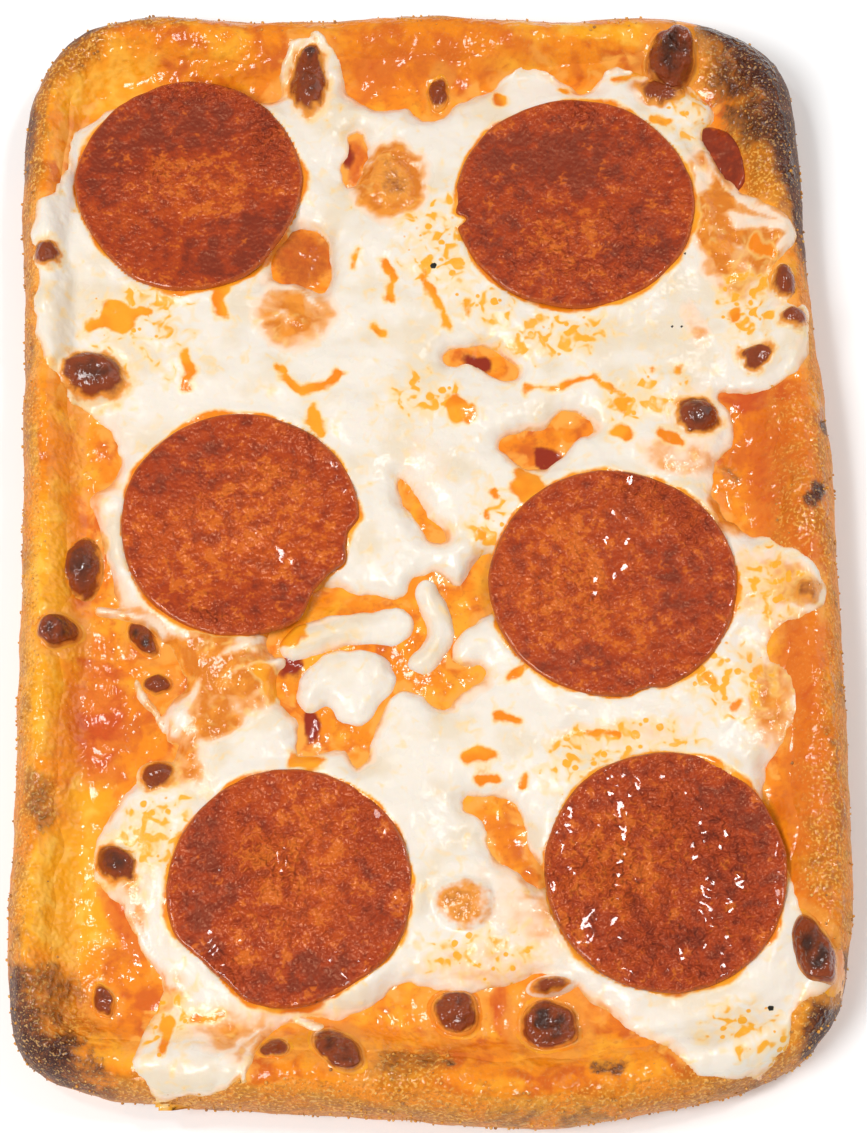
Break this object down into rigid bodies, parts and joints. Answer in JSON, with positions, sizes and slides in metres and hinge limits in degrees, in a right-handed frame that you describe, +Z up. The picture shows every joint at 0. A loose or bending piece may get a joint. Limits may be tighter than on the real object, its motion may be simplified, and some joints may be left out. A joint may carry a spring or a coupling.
{
  "type": "rectangular pepperoni pizza",
  "caption": "Small whole rectangular pizza with a puffed, charred crust all round, tomato sauce, melted mozzarella with browned bubbles, and oily pepperoni slices.",
  "frame": {"origin": "middle of the flat underside, on the surface the pizza lies on", "axes": "+X across the pizza's short side, +Y along its long side, +Z up through the toppings"},
  "size_m": [0.1658, 0.2309, 0.0244],
  "materials": {
    "dough": "baked dough, golden with brown and charred patches, matt",
    "sauce": "tomato sauce under orange oil, wet gloss",
    "cheese": "melted mozzarella, soft gloss",
    "pepperoni": "baked pepperoni, oily gloss",
    "browned_cheese": "browned cheese bubble, oily gloss"
  },
  "bodies": {
    "root": {"crust": "dough", "sauce": "sauce", "cheese": "cheese", "cheese_shred_bar": "cheese", "cheese_shred_curl": "cheese", "cheese_lump": "cheese", "pepperoni_top_left": "pepperoni", "pepperoni_top_right": "pepperoni", "pepperoni_middle_left": "pepperoni", "pepperoni_middle_right": "pepperoni", "pepperoni_bottom_left": "pepperoni", "pepperoni_bottom_right": "pepperoni", "pepperoni_tucked": "pepperoni", "burnt_bit_top": "browned_cheese", "burnt_bit_top_right": "browned_cheese", "burnt_bit_left_rim": "browned_cheese", "burnt_bit_left": "browned_cheese", "burnt_bit_left_low": "browned_cheese", "burnt_bit_corner": "browned_cheese", "burnt_bit_bottom_small": "browned_cheese", "burnt_bit_bottom_long": "browned_cheese", "burnt_bit_bottom": "browned_cheese", "burnt_bit_black": "browned_cheese", "burnt_bit_right_rim": "browned_cheese"}
  },
  "joints": []
}
